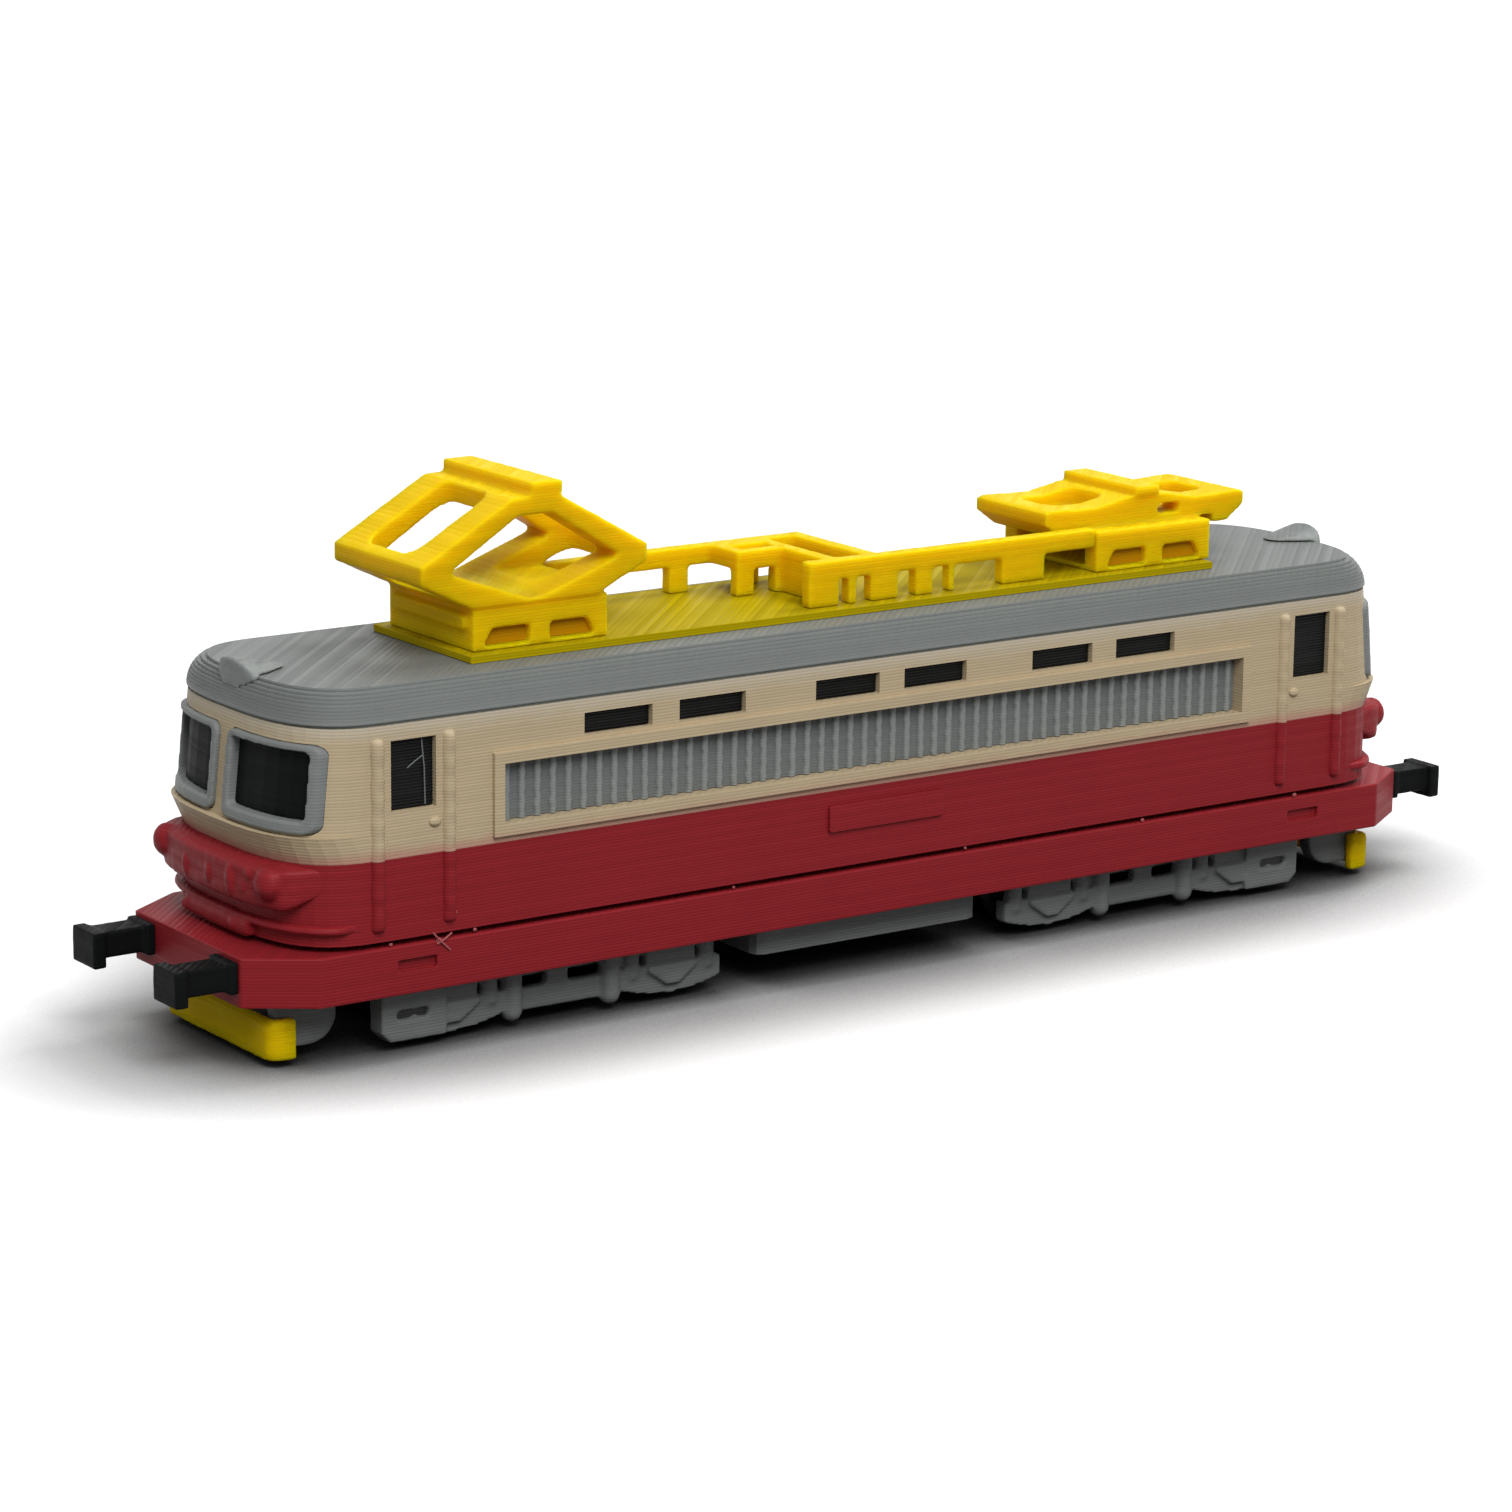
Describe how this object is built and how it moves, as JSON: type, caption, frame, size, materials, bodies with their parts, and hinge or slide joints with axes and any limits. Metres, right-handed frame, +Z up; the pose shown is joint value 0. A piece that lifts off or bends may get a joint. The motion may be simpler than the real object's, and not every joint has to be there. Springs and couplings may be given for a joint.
{
  "type": "printed scale model of a four-axle electric locomotive",
  "caption": "Small printed model of a four-axle electric locomotive in red, cream and grey, with two swivelling bogies, turning wheels and two fixed yellow pantographs.",
  "frame": {"origin": "on the floor under the middle of the model, at the height of the wheel flanges' lowest points", "axes": "+X to the front, the end under the raised pantograph; +Y to the left side; +Z up"},
  "size_m": [0.1028, 0.02, 0.0346],
  "materials": {
    "red_print": "satin printed plastic with fine layer lines",
    "cream_print": "satin printed plastic with fine layer lines",
    "roof_grey_print": "satin printed plastic with fine layer lines",
    "light_grey_print": "satin printed plastic with fine layer lines",
    "black_print": "satin printed plastic with fine layer lines",
    "yellow_print": "satin printed plastic with fine layer lines",
    "bogie_grey_print": "satin printed plastic with fine layer lines",
    "wheel_dark": "satin printed plastic with fine layer lines"
  },
  "bodies": {
    "carbody": {"underframe": "red_print", "lower_body": "red_print", "upper_body": "cream_print", "roof": "roof_grey_print", "headlight_fairing_front": "roof_grey_print", "headlight_fairing_rear": "roof_grey_print", "windscreen_frames_front": "light_grey_print", "windscreen_frames_rear": "light_grey_print", "windscreens_front": "black_print", "windscreens_rear": "black_print", "door_windows": "black_print", "side_windows": "black_print", "louvres": "light_grey_print", "nameplates": "red_print", "handrails_upper": "cream_print", "handrails_lower": "red_print", "nose_lamps_front": "red_print", "nose_lamps_rear": "red_print", "buffer_front_left": "black_print", "buffer_front_right": "black_print", "buffer_rear_left": "black_print", "buffer_rear_right": "black_print", "plough_front": "yellow_print", "plough_rear": "yellow_print", "plough_bracket_front": "bogie_grey_print", "plough_bracket_rear": "bogie_grey_print", "battery_box": "bogie_grey_print", "roof_plate": "yellow_print", "busbar": "yellow_print", "switch_box": "yellow_print", "pantograph_base_front": "yellow_print", "pantograph_arms_front": "yellow_print", "pantograph_head_front": "yellow_print", "pantograph_base_rear": "yellow_print", "pantograph_arms_rear": "yellow_print", "pantograph_head_rear": "yellow_print"},
    "bogie_front": {"bogie_frame_front": "bogie_grey_print", "side_frame_front_left": "bogie_grey_print", "side_frame_front_right": "bogie_grey_print"},
    "bogie_rear": {"bogie_frame_rear": "bogie_grey_print", "side_frame_rear_left": "bogie_grey_print", "side_frame_rear_right": "bogie_grey_print"},
    "axle_1": {"wheelset_1": "wheel_dark"},
    "axle_2": {"wheelset_2": "wheel_dark"},
    "axle_3": {"wheelset_3": "wheel_dark"},
    "axle_4": {"wheelset_4": "wheel_dark"}
  },
  "joints": [
    {"name": "bogie_front_swivel", "type": "hinge", "parent": "carbody", "child": "bogie_front", "pos_m": [0.02383, 0, 0.0085], "axis": [0, 0, 1], "range_deg": [-8, 8]},
    {"name": "bogie_rear_swivel", "type": "hinge", "parent": "carbody", "child": "bogie_rear", "pos_m": [-0.02383, 0, 0.0085], "axis": [0, 0, 1], "range_deg": [-8, 8]},
    {"name": "axle_1_spin", "type": "hinge", "parent": "bogie_front", "child": "axle_1", "pos_m": [0.03208, 0, 0.004], "axis": [0, 1, 0], "continuous": true},
    {"name": "axle_2_spin", "type": "hinge", "parent": "bogie_front", "child": "axle_2", "pos_m": [0.01558, 0, 0.004], "axis": [0, 1, 0], "continuous": true},
    {"name": "axle_3_spin", "type": "hinge", "parent": "bogie_rear", "child": "axle_3", "pos_m": [-0.01558, 0, 0.004], "axis": [0, 1, 0], "continuous": true},
    {"name": "axle_4_spin", "type": "hinge", "parent": "bogie_rear", "child": "axle_4", "pos_m": [-0.03208, 0, 0.004], "axis": [0, 1, 0], "continuous": true}
  ]
}
